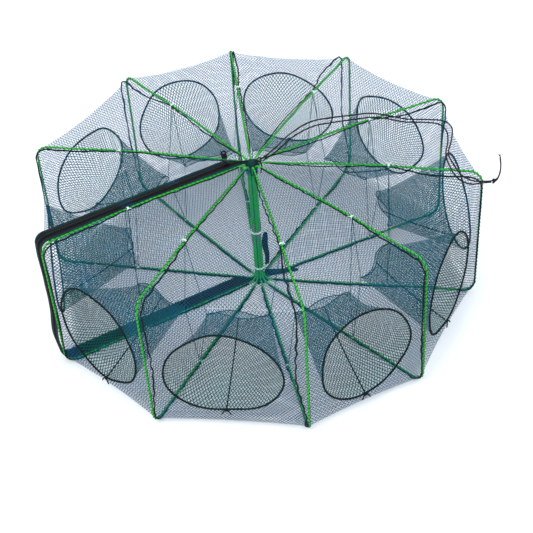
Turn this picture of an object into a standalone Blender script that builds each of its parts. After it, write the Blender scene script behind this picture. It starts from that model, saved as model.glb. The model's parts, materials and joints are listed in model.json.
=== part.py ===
"""Folding crab trap: ten wire frames hinged round one bundle, with net panels, inward
funnels, a zip along one frame and a doubled lift cord. Metres, +Z up; the trap stands
on z = 0 with its centre on the Z axis. Frames are numbered clockwise seen from above."""
import math

import bmesh
import bpy
from mathutils import Matrix, Vector

# Driving dimensions
RIM_R = 0.465               # axis of the trap to the centre line of a frame's outer rod
HEIGHT = 0.318              # outside height of a frame at its corners
WIRE_R = 0.002              # plastic coated wire
BUNDLE_R = 0.0082           # axis of the trap to the centre line of each inner rod
OUTER_CORNER_R = 0.028
INNER_CORNER_R = 0.018
ROOF_BOW = 0.005            # rise of the top run at its middle
AZIMUTHS = (166.0, 126.0, 94.0, 59.0, 24.5, -11.0, -48.5, -80.5, -118.5, -151.5)
FRAMES = len(AZIMUTHS)

GAP = 0.0003                # clearance between touching pieces
NET_T = 0.0012              # thickness of a net panel's solid
NET_START_R = 0.045         # where a panel's point begins, out from the axis
NET_SIDE = WIRE_R + 0.0008  # a panel's side edge to the plane of its frame
NET_INSET = 0.0008          # roof and floor panels below and above the frame's outside

RING_SHARE = 0.370          # an entrance's half width as a share of its wall's width
RING_B = 0.103              # its half height
RING_Z = 0.140
SLIT_A, SLIT_B = 0.042, 0.006       # half width and half height of a funnel's inner mouth
SLIT_Z = 0.150
FUNNEL_DEPTH = 0.165
FUNNEL_POINTS = 16
FUNNEL_STEPS = 2
RING_POINTS = 24

TAPE_W = 0.014              # one side of the zip
TAPE_T = 0.0010
COIL_W, COIL_T = 0.0066, 0.0020
ZIP_START_R = 0.034         # where the zip begins on the roof, out from the axis
ZIP_END_R = 0.040           # and where it ends on the floor
ZIP_NET_START_R = 0.075     # where the panel beside it begins
ZIP_PROUD = 0.0005          # the zip's tape above the frames' top runs
ZIP_CORNER_R = 0.020
SLIDER_SIZE = (0.013, 0.011, 0.0034)
SLIDER_R = 0.050            # the slider's place along the zip when shut
SLIDER_EDGE_R = 0.0006
LUG_R = 0.0022              # the two lugs that hold the tab's pin
LUG_T = 0.0018
LUG_SIDE = 0.0042           # slider's middle to the middle of a lug
LUG_SINK = 0.001            # overlap of the lugs with the slider below them
PIN_L = 0.0090
TAB_L, TAB_W, TAB_T = 0.027, 0.012, 0.0016
TAB_HOLE_R = 0.0019
TAB_HOLE_IN = 0.0055        # the hole's middle in from the tab's end
TAB_CORNER = 0.003
TAB_NECK_W = 0.0056
TAB_EYE_R = 0.0011          # the pin the tab swings on
TAB_EYE_T = 0.0011          # metal round the pin's bore
BORE_L = 0.02
TAB_LEAN = math.radians(82)     # the tab stands up from the zip, leaning a little outward

TIE_IN_R = BUNDLE_R + WIRE_R + GAP
TIE_T, TIE_H = 0.0014, 0.0040
TIE_HEAD = (0.0060, 0.0055, 0.0052)
TIE_UPPER_Z, TIE_LOWER_Z = 0.137, 0.038

CORD_R = 0.0015
CORD_STEP = 0.009
KNOT_R = 0.0048

# Plan of the lift cord's two strands: from the hitch at the hub, over the roof to the
# rim, back along it and over the next frame's corner to the knot.
STRAND_A = (
    (0.020, 0.002), (0.036, 0.019), (0.055, 0.043), (0.085, 0.082), (0.127, 0.117),
    (0.170, 0.127), (0.215, 0.131), (0.258, 0.135), (0.290, 0.125), (0.330, 0.107),
    (0.376, 0.101), (0.408, 0.092), (0.420, 0.065), (0.412, 0.022), (0.398, -0.026),
    (0.403, -0.066), (0.412, -0.100), (0.430, -0.121), (0.450, -0.125), (0.4647, -0.1262),
)
STRAND_B = (
    (0.024, -0.004), (0.041, 0.012), (0.061, 0.035), (0.092, 0.073), (0.136, 0.102),
    (0.175, 0.109), (0.215, 0.114), (0.258, 0.119), (0.288, 0.112), (0.325, 0.096),
    (0.368, 0.091), (0.396, 0.081), (0.407, 0.055), (0.404, 0.018), (0.3925, -0.0285),
    (0.394, -0.070), (0.402, -0.108), (0.422, -0.1305), (0.445, -0.1305), (0.4652, -0.1298),
)
KNOT_AT = (0.4700, -0.1270, 0.3197)
TAIL_L = 0.050
TAIL_WAY = (0.50, 0.86, 0.10)

COLOURS = {
    "green coated wire": ((0.05, 0.42, 0.05), 0.35, 0.0),
    "green net": ((0.05, 0.20, 0.20), 0.80, 0.0),
    "green funnel net": ((0.04, 0.16, 0.15), 0.80, 0.0),
    "black zip tape": ((0.02, 0.02, 0.025), 0.85, 0.0),
    "brown zip coil": ((0.10, 0.07, 0.06), 0.50, 0.0),
    "black metal": ((0.03, 0.03, 0.03), 0.40, 0.8),
    "clear plastic tie": ((0.75, 0.78, 0.74), 0.40, 0.0),
    "black cord": ((0.02, 0.015, 0.025), 0.80, 0.0),
}


def clear_scene():
    for obj in list(bpy.data.objects):
        bpy.data.objects.remove(obj, do_unlink=True)


def collection(name):
    made = bpy.data.collections.new(name)
    bpy.context.scene.collection.children.link(made)
    return made


def material(name):
    found = bpy.data.materials.get(name)
    if found:
        return found
    colour, roughness, metallic = COLOURS[name]
    made = bpy.data.materials.new(name)
    made.use_nodes = True
    shader = made.node_tree.nodes["Principled BSDF"]
    shader.inputs["Base Color"].default_value = (*colour, 1)
    shader.inputs["Roughness"].default_value = roughness
    shader.inputs["Metallic"].default_value = metallic
    return made


def place(name, data, finish, matrix=None, parent=None):
    obj = bpy.data.objects.new(name, data)
    data.materials.append(material(finish))
    TRAP.objects.link(obj)
    if parent:
        obj.parent = parent
    if matrix:
        obj.matrix_basis = matrix
    return obj


def pivot(name, matrix, parent=None):
    empty = bpy.data.objects.new(name, None)
    empty.matrix_basis = matrix
    empty.parent = parent
    TRAP.objects.link(empty)
    return empty


def radial(azimuth):
    return Vector((math.cos(azimuth), math.sin(azimuth), 0))


def sideways(azimuth):
    """Level, square to the radius, on the side where azimuths grow."""
    return Vector((-math.sin(azimuth), math.cos(azimuth), 0))


def upright(origin, across):
    """X along across, Y up, Z square to both."""
    return axes(origin, across, Vector((0, 0, 1)))


def axes(origin, x, y):
    z = x.cross(y)
    turn = Matrix((x, y, z)).transposed().to_4x4()
    return Matrix.Translation(origin) @ turn


def azimuth_of(frame):
    return math.radians(AZIMUTHS[frame % FRAMES])


def arc(centre, radius, start, end, steps):
    for k in range(steps + 1):
        angle = math.radians(start + (end - start) * k / steps)
        yield (centre[0] + radius * math.cos(angle), centre[1] + radius * math.sin(angle))


def poly_curve(name, points, radius, cyclic, sides=2):
    curve = bpy.data.curves.new(name, "CURVE")
    curve.dimensions = "3D"
    curve.bevel_depth = radius
    curve.bevel_resolution = sides
    curve.use_fill_caps = True
    spline = curve.splines.new("POLY")
    spline.points.add(len(points) - 1)
    for target, point in zip(spline.points, points):
        target.co = (*point, 1)
    spline.use_cyclic_u = cyclic
    spline.use_smooth = True
    return curve


def flat_plate(name, outlines, thickness):
    curve = bpy.data.curves.new(name, "CURVE")
    curve.dimensions = "2D"
    curve.fill_mode = "BOTH"
    curve.extrude = thickness / 2
    for outline in outlines:
        spline = curve.splines.new("POLY")
        spline.points.add(len(outline) - 1)
        for target, point in zip(spline.points, outline):
            target.co = (point[0], point[1], 0, 1)
        spline.use_cyclic_u = True
    return curve


def ellipse(a, b, count, centre=(0, 0)):
    for k in range(count):
        angle = 2 * math.pi * k / count
        yield (centre[0] + a * math.cos(angle), centre[1] + b * math.sin(angle))


def wire_outline():
    """The frame's centre line in its own plane: distance out, then height."""
    low, high = WIRE_R, HEIGHT - WIRE_R
    bo, bi = OUTER_CORNER_R, INNER_CORNER_R
    left, right = BUNDLE_R, RIM_R
    points = list(arc((left + bi, low + bi), bi, 180, 270, 5))
    points += list(arc((right - bo, low + bo), bo, -90, 0, 6))
    points += list(arc((right - bo, high - bo), bo, 0, 90, 6))
    run = right - bo - (left + bi)
    for k in range(1, 6):
        share = k / 6
        points.append((right - bo - run * share, high + ROOF_BOW * math.sin(math.pi * share) ** 2))
    points += list(arc((left + bi, high - bi), bi, 90, 180, 5))
    return points


def frame_wire(frame):
    azimuth = azimuth_of(frame)
    points = [Vector((r, z, 0)) for r, z in wire_outline()]
    curve = poly_curve("wire outline", points, WIRE_R, True, 2)
    place(f"frame_wire_{frame + 1:02d}", curve, "green coated wire",
          upright(Vector((0, 0, 0)), radial(azimuth)))


def side_gap(sector):
    """Room left beside the sector's first frame: the last sector has the zip there."""
    if sector == FRAMES - 1:
        return NET_SIDE + 2 * TAPE_W + 3 * GAP
    return NET_SIDE


def sector_corners(sector):
    """Where the sector's panels start and end beside its two frames, seen from above."""
    first, second = azimuth_of(sector), azimuth_of(sector + 1)
    start = ZIP_NET_START_R if sector == FRAMES - 1 else NET_START_R
    side = side_gap(sector)
    return [
        radial(first) * start - sideways(first) * side,
        radial(first) * RIM_R - sideways(first) * side,
        radial(second) * RIM_R + sideways(second) * NET_SIDE,
        radial(second) * start + sideways(second) * NET_SIDE,
    ]


def level_net(sector, kind, z):
    outline = [(p.x, p.y) for p in sector_corners(sector)]
    plate = flat_plate(kind, [outline], NET_T)
    place(f"{kind}_{sector + 1:02d}", plate, "green net", Matrix.Translation((0, 0, z)))


def wall_frame(sector):
    """The wall's middle at the ring's height, its direction, and the way in."""
    _, one, two, _ = sector_corners(sector)
    across = (two - one).normalized()
    middle = (one + two) / 2
    inward = -middle.normalized()
    inward = (inward - across * inward.dot(across)).normalized()
    return middle, across, inward, (two - one).length


def wall_net(sector):
    middle, across, _, width = wall_frame(sector)
    low = NET_T + GAP
    high = HEIGHT - NET_INSET - NET_T - GAP
    half = width / 2
    edge = [(-half, low), (half, low), (half, high), (-half, high)]
    ring = list(ellipse(RING_SHARE * width, RING_B, RING_POINTS, (0, RING_Z)))
    plate = flat_plate("wall net", [edge, ring], NET_T)
    place(f"wall_net_{sector + 1:02d}", plate, "green net", upright(middle, across))


def entry_funnel(sector):
    """A sleeve lofted from the round entrance to the flat slit inside."""
    middle, across, inward, width = wall_frame(sector)
    ring_a = RING_SHARE * width
    mesh = bpy.data.meshes.new("funnel")
    net = bmesh.new()
    start = NET_T + GAP
    loops = []
    for step in range(FUNNEL_STEPS + 1):
        share = step / FUNNEL_STEPS
        ease = share * (1.35 - 0.35 * share)
        a = ring_a - NET_T - GAP + (SLIT_A - ring_a) * ease
        b = RING_B - NET_T - GAP + (SLIT_B - RING_B) * ease
        z = RING_Z + (SLIT_Z - RING_Z) * share
        depth = start + FUNNEL_DEPTH * share
        loops.append([
            net.verts.new(middle + across * u + inward * depth + Vector((0, 0, v)))
            for u, v in ellipse(a, b, FUNNEL_POINTS, (0, z))
        ])
    for near, far in zip(loops, loops[1:]):
        for k in range(FUNNEL_POINTS):
            n = (k + 1) % FUNNEL_POINTS
            net.faces.new((near[k], near[n], far[n], far[k]))
    bmesh.ops.recalc_face_normals(net, faces=net.faces)
    net.to_mesh(mesh)
    net.free()
    mesh.shade_smooth()
    obj = place(f"entry_funnel_{sector + 1:02d}", mesh, "green funnel net")
    shell = obj.modifiers.new("cloth", "SOLIDIFY")
    shell.thickness = NET_T
    shell.offset = 0


def zip_path(inset):
    """The zip's path in its frame's plane: out along the roof, down the wall, back below."""
    top = HEIGHT + ZIP_PROUD + TAPE_T + GAP + COIL_T - inset
    corner = ZIP_CORNER_R - inset
    centre = RIM_R + WIRE_R - ZIP_CORNER_R
    points = [(ZIP_START_R, top)]
    points += list(arc((centre, top - corner), corner, 90, 0, 5))
    points += list(arc((centre, inset + corner), corner, 0, -90, 5))
    points.append((ZIP_END_R, inset))
    return points


def zip_strip(name, finish, inset, thickness, near, far):
    """A band bent along the zip's path, from near to far beside the frame's plane."""
    azimuth = azimuth_of(FRAMES - 1)
    outline = zip_path(inset) + zip_path(inset + thickness)[::-1]
    plate = flat_plate(name, [outline], far - near)
    middle = -sideways(azimuth) * (near + far) / 2
    place(name, plate, finish, upright(middle, radial(azimuth)))


def zip_parts():
    near = NET_SIDE
    seam = near + TAPE_W
    tape_inset = COIL_T + GAP
    zip_strip("zip_tape_frame_side", "black zip tape", tape_inset, TAPE_T, near, seam)
    zip_strip("zip_tape_panel_side", "black zip tape", tape_inset, TAPE_T,
              seam + GAP, seam + GAP + TAPE_W)
    centre = seam + GAP / 2
    zip_strip("zip_coil", "brown zip coil", 0, COIL_T, centre - COIL_W / 2, centre + COIL_W / 2)
    slider_and_tab(centre)


def join_shapes(obj, other):
    """Unions another mesh object into this one and removes it."""
    union = obj.modifiers.new("joined", "BOOLEAN")
    union.operation = "UNION"
    union.object = other
    union.solver = "EXACT"


def helper(name, mesh):
    obj = bpy.data.objects.new(name, mesh)
    CUTTERS.objects.link(obj)
    obj.display_type = "WIRE"
    obj.hide_render = True
    return obj


def box_mesh(name, size, centre=(0, 0, 0)):
    mesh = bpy.data.meshes.new(name)
    shape = bmesh.new()
    bmesh.ops.create_cube(shape, size=1)
    bmesh.ops.scale(shape, vec=size, verts=shape.verts)
    bmesh.ops.translate(shape, vec=centre, verts=shape.verts)
    shape.to_mesh(mesh)
    shape.free()
    return mesh


def cylinder_mesh(name, radius, length, centre, axis, sides=16):
    mesh = bpy.data.meshes.new(name)
    shape = bmesh.new()
    bmesh.ops.create_cone(shape, cap_ends=True, segments=sides, radius1=radius,
                          radius2=radius, depth=length)
    turn = Vector((0, 0, 1)).rotation_difference(Vector(axis)).to_matrix().to_4x4()
    bmesh.ops.transform(shape, matrix=Matrix.Translation(centre) @ turn, verts=shape.verts)
    shape.to_mesh(mesh)
    shape.free()
    return mesh


def slider_and_tab(seam):
    """The slider rides on the coil; the tab swings on a pin across two lugs."""
    azimuth = azimuth_of(FRAMES - 1)
    base = HEIGHT + ZIP_PROUD + TAPE_T + COIL_T + 2 * GAP
    long, wide, tall = SLIDER_SIZE
    spot = radial(azimuth) * SLIDER_R - sideways(azimuth) * seam + Vector((0, 0, base))
    home = axes(spot, radial(azimuth), sideways(azimuth))
    slide = pivot("zip slide", home)
    body = place("zip_slider", box_mesh("slider", (long, wide, tall), (0, 0, tall / 2)),
                 "black metal", None, slide)
    soft = body.modifiers.new("soft edges", "BEVEL")
    soft.width = SLIDER_EDGE_R
    soft.segments = 2
    pin_z = tall + LUG_R + TAB_EYE_R
    lug_top = LUG_R + 2 * TAB_EYE_R
    for side in (-1, 1):
        middle = (0, side * LUG_SIDE, tall + (lug_top - LUG_SINK) / 2)
        lug = helper(f"lug {side}",
                     box_mesh("lug", (2 * LUG_R, LUG_T, lug_top + LUG_SINK), middle))
        lug.parent = slide
        join_shapes(body, lug)
    pin = helper("pin", cylinder_mesh("pin", TAB_EYE_R, PIN_L, (0, 0, pin_z), (0, 1, 0), 12))
    pin.parent = slide
    join_shapes(body, pin)

    hinge = pivot("tab hinge", Matrix.Translation((0, 0, pin_z)), slide)
    eye_out = TAB_EYE_R + GAP + TAB_EYE_T
    neck, half, cut = TAB_NECK_W / 2, TAB_W / 2, TAB_CORNER
    edge = [(-eye_out, neck), (eye_out, neck), (eye_out + cut, half),
            (TAB_L - cut, half), (TAB_L, half - cut)]
    outline = edge + [(x, -y) for x, y in reversed(edge)]
    hole = list(ellipse(TAB_HOLE_R, TAB_HOLE_R, 16, (TAB_L - TAB_HOLE_IN, 0)))
    plate = flat_plate("tab", [outline, hole], TAB_T)
    flat = bpy.data.objects.new("tab plate", plate)
    TRAP.objects.link(flat)
    bpy.context.view_layer.update()
    mesh = bpy.data.meshes.new_from_object(flat.evaluated_get(bpy.context.evaluated_depsgraph_get()))
    bpy.data.objects.remove(flat)
    weld = bmesh.new()
    weld.from_mesh(mesh)
    bmesh.ops.remove_doubles(weld, verts=weld.verts, dist=0.00001)
    bmesh.ops.recalc_face_normals(weld, faces=weld.faces)
    weld.to_mesh(mesh)
    weld.free()
    mesh.materials.clear()
    tab = place("zip_pull_tab", mesh, "black metal", None, hinge)
    barrel = helper("tab barrel", cylinder_mesh("barrel", eye_out, TAB_NECK_W, (0, 0, 0), (0, 1, 0), 20))
    bore = helper("tab bore", cylinder_mesh("bore", TAB_EYE_R + GAP, BORE_L, (0, 0, 0), (0, 1, 0), 16))
    for guide in (barrel, bore):
        guide.parent = hinge
    join_shapes(tab, barrel)
    opened = tab.modifiers.new("pin bore", "BOOLEAN")
    opened.operation = "DIFFERENCE"
    opened.object = bore
    opened.solver = "EXACT"
    hinge.matrix_basis = hinge.matrix_basis @ Matrix.Rotation(-TAB_LEAN, 4, "Y")


def bundle_tie(name, z):
    """A strap round the inner rods, with its square head on the outside."""
    profile = bpy.data.meshes.new(name)
    ring = bmesh.new()
    half = TIE_H / 2
    corners = [(TIE_IN_R + TIE_T, half), (TIE_IN_R + TIE_T, -half),
               (TIE_IN_R, -half), (TIE_IN_R, half)]
    verts = [ring.verts.new((r, 0, h)) for r, h in corners]
    for k in range(4):
        ring.edges.new((verts[k], verts[(k + 1) % 4]))
    ring.to_mesh(profile)
    ring.free()
    obj = place(name, profile, "clear plastic tie", Matrix.Translation((0, 0, z)))
    turn = obj.modifiers.new("turned", "SCREW")
    turn.steps = turn.render_steps = 32
    turn.merge_threshold = 0.00001
    turn.use_merge_vertices = True
    turn.use_normal_calculate = True
    reach = TIE_IN_R + TIE_T / 2 + TIE_HEAD[0] / 2
    azimuth = math.radians(195)
    head = helper(f"{name} head", box_mesh("tie head", TIE_HEAD, (0, 0, 0)))
    head.matrix_basis = axes(radial(azimuth) * reach + Vector((0, 0, z)),
                             radial(azimuth), sideways(azimuth))
    join_shapes(obj, head)


def smooth_route(points, step):
    """Even steps along a smooth curve through the route's points."""
    points = [Vector(p) for p in points]
    ends = [2 * points[0] - points[1]] + points + [2 * points[-1] - points[-2]]
    fine = []
    for a, b, c, d in zip(ends, ends[1:], ends[2:], ends[3:]):
        for k in range(12):
            t = k / 12
            fine.append(0.5 * (2 * b + (c - a) * t + (2 * a - 5 * b + 4 * c - d) * t * t
                               + (3 * b - a - 3 * c + d) * t ** 3))
    fine.append(points[-1])
    total = sum((b - a).length for a, b in zip(fine, fine[1:]))
    count = round(total / step)
    route, walked, k = [fine[0]], 0.0, 0
    for n in range(1, count):
        goal = total * n / count
        while walked + (fine[k + 1] - fine[k]).length < goal:
            walked += (fine[k + 1] - fine[k]).length
            k += 1
        stretch = fine[k + 1] - fine[k]
        route.append(fine[k] + stretch * ((goal - walked) / stretch.length))
    return route + [fine[-1]]


def over_roof(x, y):
    """A point of the lift cord, lying just above the frames' top runs."""
    start, end = BUNDLE_R + INNER_CORNER_R, RIM_R - OUTER_CORNER_R
    share = min(max((math.hypot(x, y) - start) / (end - start), 0), 1)
    bow = ROOF_BOW * math.sin(math.pi * share) ** 2
    return x, y, HEIGHT + bow + CORD_R + GAP


def lift_cord():
    for letter, route in (("a", STRAND_A), ("b", STRAND_B)):
        points = smooth_route([over_roof(x, y) for x, y in route], CORD_STEP)
        curve = poly_curve("lift cord", points, CORD_R, False, 2)
        place(f"lift_cord_{letter}", curve, "black cord")
    knot = bpy.data.meshes.new("knot")
    ball = bmesh.new()
    bmesh.ops.create_uvsphere(ball, u_segments=12, v_segments=8, radius=KNOT_R)
    ball.to_mesh(knot)
    ball.free()
    knot.shade_smooth()
    obj = place("lift_cord_knot", knot, "black cord", Matrix.Translation(KNOT_AT))
    way = Vector(TAIL_WAY).normalized()
    middle = way * (KNOT_R * 0.6 + TAIL_L / 2)
    tail = helper("tail", cylinder_mesh("tail", CORD_R, TAIL_L, middle, way, 10))
    tail.parent = obj
    join_shapes(obj, tail)


clear_scene()
TRAP = collection("folding crab trap")
CUTTERS = collection("cutters")
for number in range(FRAMES):
    frame_wire(number)
    level_net(number, "roof_net", HEIGHT - NET_INSET - NET_T / 2)
    level_net(number, "floor_net", NET_T / 2)
    wall_net(number)
    entry_funnel(number)
zip_parts()
bundle_tie("bundle_tie_upper", TIE_UPPER_Z)
bundle_tie("bundle_tie_lower", TIE_LOWER_Z)
lift_cord()
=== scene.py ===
"""Looks of the folding crab trap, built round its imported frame: netting, seam and lashing
twine, entrance rings, slit strings, ties, sleeves, zip and lift cord. Metres, +Z up."""
import json
import math
import random

import bpy
import numpy as np
from mathutils import Matrix, Vector


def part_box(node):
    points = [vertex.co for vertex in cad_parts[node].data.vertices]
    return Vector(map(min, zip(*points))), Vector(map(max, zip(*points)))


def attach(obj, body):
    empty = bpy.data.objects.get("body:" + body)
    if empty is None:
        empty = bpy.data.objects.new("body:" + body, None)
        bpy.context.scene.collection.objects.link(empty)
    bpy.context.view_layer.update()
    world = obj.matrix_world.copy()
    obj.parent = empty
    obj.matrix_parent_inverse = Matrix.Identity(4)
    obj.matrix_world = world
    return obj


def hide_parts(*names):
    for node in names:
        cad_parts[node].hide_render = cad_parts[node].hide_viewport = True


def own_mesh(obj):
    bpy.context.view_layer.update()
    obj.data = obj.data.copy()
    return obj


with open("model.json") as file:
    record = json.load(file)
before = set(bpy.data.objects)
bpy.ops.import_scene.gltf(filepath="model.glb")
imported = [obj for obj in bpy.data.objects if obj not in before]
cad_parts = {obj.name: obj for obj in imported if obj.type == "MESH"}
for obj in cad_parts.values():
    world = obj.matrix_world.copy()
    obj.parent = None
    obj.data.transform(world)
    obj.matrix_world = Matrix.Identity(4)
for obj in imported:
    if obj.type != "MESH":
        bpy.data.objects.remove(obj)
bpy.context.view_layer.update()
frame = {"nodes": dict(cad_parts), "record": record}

GAP = 0.0003                # between parts that lie on each other, or on the ground
UP = np.array((0, 0, 1.0))

CAMERA_AT = (0.0162, -1.99839, 1.73588)
CAMERA_LENS = 81.10
CAMERA_DOWN, CAMERA_ROLL = 40.41, -4.07     # degrees
SKY, SKY_STRENGTH = (0.90, 0.98, 1.08, 1), 1.3
KEY_POWER, FILL_POWER = 52, 20
LIGHT_SIZE, LIGHT_AIM = 1.8, (0, 0, 0.15)

# The trap's driving dimensions, as in its frame
RIM_R = 0.465
HEIGHT = 0.318
WIRE_R = 0.002
BUNDLE_R = 0.0082
OUTER_CORNER_R = 0.028
INNER_CORNER_R = 0.018
ROOF_BOW = 0.005
AZIMUTHS = (166.0, 126.0, 94.0, 59.0, 24.5, -11.0, -48.5, -80.5, -118.5, -151.5)
BAYS = len(AZIMUTHS)
ZIP_BAY = BAYS - 1

# Netting
MESH = 0.0052               # spacing of the twines
TWINE = 0.00074             # width of one twine
WALL_TWINE = 0.00094
FUNNEL_TWINE = 0.00130      # drawn together, the sleeves' netting is denser
NET_IN_R = 0.0125           # where the netting is gathered at the bundle
RIM_FOLD = 0.0082           # rim inside the corners of the wires
RIM_DIP = 0.006             # the rim drawn in half way between two frames
RIPPLE = 0.0006
ROOF_SAG = 0.007
WALL_DIP = 0.006
FLOOR_CLEAR = 0.0010
RING_SHARE = 0.370
RING_B = 0.103
RING_Z = 0.140
SLIT_A, SLIT_B = 0.062, 0.005
SLIT_Z = 0.147
FUNNEL_DEPTH = 0.165

# Seams, and the rings they hold
TIE_AT = 0.60               # the spoke ties' place, as a share of the rim's radius
SEAM_START_R = 0.030        # seams start and end this far from the trap's axis
SEAM_SWAY = ((0.004, 0.006), (0.014, 0.010), (-0.005, 0.004), (0.017, 0.018),
             (-0.014, 0.004), (-0.015, -0.010), (-0.003, -0.004), (-0.010, -0.018),
             (0.004, 0.011), (0.003, 0.010))    # on the spoke and on the outer rod
SEAM_SHIVER = 0.0005
LASHING_R, LASHING_PITCH = 0.00065, 0.0095
RING_MOVE = ((-0.014, 0.022), (-0.014, 0.022), (-0.010, 0.024), (-0.012, 0.015), (0, 0),
             (0, 0), (0, 0), (0.008, 0), (0.010, 0.004), (0, 0))   # along the wall and up it
RING_SIZE = ((0.96, 0.97), (1.08, 1.04), (1.06, 0.93), (1.02, 0.97), (1, 1),
             (1, 1), (1.04, 1.04), (1, 1), (1.08, 1.06), (1, 1))   # wide and high

# Zip, as bands beside its frame's plane
ZIP_CORNER_R = 0.020
ZIP_IN_R = 0.006            # where it is gathered into the hub
ZIP_OPEN_R = 0.048          # from here out it keeps its full width
ZIP_SEAM = 0.01695          # the coil's middle
TAPE_EDGE = 0.0035
TAPE_T = 0.0010
ZIP_LIFT = 0.0033           # its line above the ground, and inside the rods' outer faces
ZIP_SLACK = 0.0085
ZIP_FOLDED = 0.3            # the frame's side keeps more of its width than the panel's
COIL_R, COIL_PITCH = 0.0029, 0.0021
SLIDER_R = 0.050            # the slider's distance from the trap's axis
TAB_PIN_Z = HEIGHT + 0.0108
TAB_TURN = 62               # degrees the tab is turned from across the zip
TAB_HALF_W, TAB_T, TAB_HOLE_R = 0.0058, 0.0014, 0.0023

# Cords
CORD_R = 0.0015
SEAM_R = 0.0017
RING_CORD_R = 0.0019
STRING_R = 0.0007
FOLDED_SHARE = 0.045        # how much of its width a bay's netting keeps when folded

# Heights and distances that follow from these
TOP = HEIGHT - WIRE_R
LOW = WIRE_R
SPOKE_START, SPOKE_END = BUNDLE_R + INNER_CORNER_R, RIM_R - OUTER_CORNER_R
NET_LOW, NET_HIGH = LOW + RIM_FOLD, TOP - RIM_FOLD
NODE_BODY = {node: body for body, nodes in frame["record"]["behaviour"]["bodies"].items()
             for node in nodes}

# Plan of the lift cord's strands, from the hub to the knot past the rim
STRAND_A = (
    (0.020, 0.002), (0.036, 0.019), (0.055, 0.043), (0.085, 0.082), (0.127, 0.117),
    (0.170, 0.127), (0.215, 0.131), (0.258, 0.135), (0.290, 0.125), (0.330, 0.107),
    (0.376, 0.101), (0.408, 0.092), (0.420, 0.065), (0.412, 0.022), (0.398, -0.026),
    (0.403, -0.066), (0.412, -0.100), (0.430, -0.121), (0.450, -0.125), (0.4647, -0.1262),
)
STRAND_B = (
    (0.024, -0.004), (0.041, 0.012), (0.061, 0.035), (0.092, 0.073), (0.136, 0.102),
    (0.175, 0.109), (0.215, 0.114), (0.258, 0.119), (0.288, 0.112), (0.325, 0.096),
    (0.368, 0.091), (0.396, 0.081), (0.407, 0.055), (0.404, 0.018), (0.3925, -0.0285),
    (0.394, -0.070), (0.402, -0.108), (0.422, -0.1305), (0.445, -0.1305), (0.4652, -0.1298),
)
KNOT_AT = (0.4700, -0.1270, 0.3197)
TAIL = ((0.4700, -0.1270, 0.3197), (0.4790, -0.1190, 0.3200), (0.4880, -0.1000, 0.3215),
        (0.4930, -0.0800, 0.3240), (0.4950, -0.0620, 0.3290))


# ---------------------------------------------------------------- camera, light, floor

def make_camera():
    data = bpy.data.cameras.new("camera")
    data.lens = CAMERA_LENS
    data.sensor_width = 36
    camera = linked("camera", data)
    place = Matrix.Translation(CAMERA_AT)
    tilt = Matrix.Rotation(math.radians(90 - CAMERA_DOWN), 4, "X")
    roll = Matrix.Rotation(math.radians(CAMERA_ROLL), 4, "Z")
    camera.matrix_world = place @ tilt @ roll
    bpy.context.scene.camera = camera


def area_light(name, place, power):
    data = bpy.data.lights.new(name, "AREA")
    data.size = LIGHT_SIZE
    data.energy = power
    light = linked(name, data)
    light.location = place
    aim = Vector(LIGHT_AIM) - Vector(place)
    light.rotation_euler = aim.to_track_quat("-Z", "Y").to_euler()


def make_studio():
    world = bpy.data.worlds.new("studio")
    world.use_nodes = True
    back = world.node_tree.nodes["Background"]
    back.inputs["Color"].default_value = SKY
    back.inputs["Strength"].default_value = SKY_STRENGTH
    bpy.context.scene.world = world
    area_light("key", (-1.4, -1.6, 2.4), KEY_POWER)
    area_light("fill", (1.8, -0.8, 1.8), FILL_POWER)
    bpy.context.scene.view_settings.view_transform = "Standard"

    bpy.ops.mesh.primitive_grid_add(x_subdivisions=4, y_subdivisions=4, size=8,
                                    location=(0, 0, -0.0005))
    floor = bpy.context.object
    floor.name = "studio_floor"
    paint = bpy.data.materials.new("studio floor")
    paint.use_nodes = True
    shader = paint.node_tree.nodes["Principled BSDF"]
    shader.inputs["Base Color"].default_value = (0.82, 0.82, 0.82, 1)
    shader.inputs["Roughness"].default_value = 0.9
    floor.data.materials.append(paint)


# ---------------------------------------------------------------- shader node groups

def new_group(name, inputs, outputs):
    """A shader node group, what it is given, what it gives, and the piece's own coordinates."""
    tree = bpy.data.node_groups.new(name, "ShaderNodeTree")
    for label, kind, value in inputs:
        socket = tree.interface.new_socket(name=label, in_out="INPUT", socket_type=kind)
        socket.default_value = value
    for label, kind in outputs:
        tree.interface.new_socket(name=label, in_out="OUTPUT", socket_type=kind)
    return (tree, node(tree, "NodeGroupInput").outputs, node(tree, "NodeGroupOutput").inputs,
            node(tree, "ShaderNodeTexCoord").outputs["Object"])


def node(tree, kind, **settings):
    made = tree.nodes.new(kind)
    for name, value in settings.items():
        setattr(made, name, value)
    return made


def feed(tree, value, socket):
    """Links an output to a socket, or sets the socket to a constant."""
    if isinstance(value, bpy.types.NodeSocket):
        tree.links.new(value, socket)
    else:
        socket.default_value = value


def noise_at(tree, coords, scale, detail=3.0):
    """A noise texture on these coordinates."""
    noise = node(tree, "ShaderNodeTexNoise")
    for value, name in ((coords, "Vector"), (scale, "Scale"), (detail, "Detail")):
        feed(tree, value, noise.inputs[name])
    return noise.outputs["Fac"]


def sums(tree, operation, *values):
    """One step of arithmetic."""
    made = node(tree, "ShaderNodeMath", operation=operation)
    for value, socket in zip(values, made.inputs):
        feed(tree, value, socket)
    return made.outputs[0]


def ranged(tree, value, low, high, to_low=0.0, to_high=1.0):
    """The value's place from low to high, spread between two others."""
    made = node(tree, "ShaderNodeMapRange", clamp=True)
    for number, name in ((value, "Value"), (low, "From Min"), (high, "From Max"),
                         (to_low, "To Min"), (to_high, "To Max")):
        feed(tree, number, made.inputs[name])
    return made.outputs[0]


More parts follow.
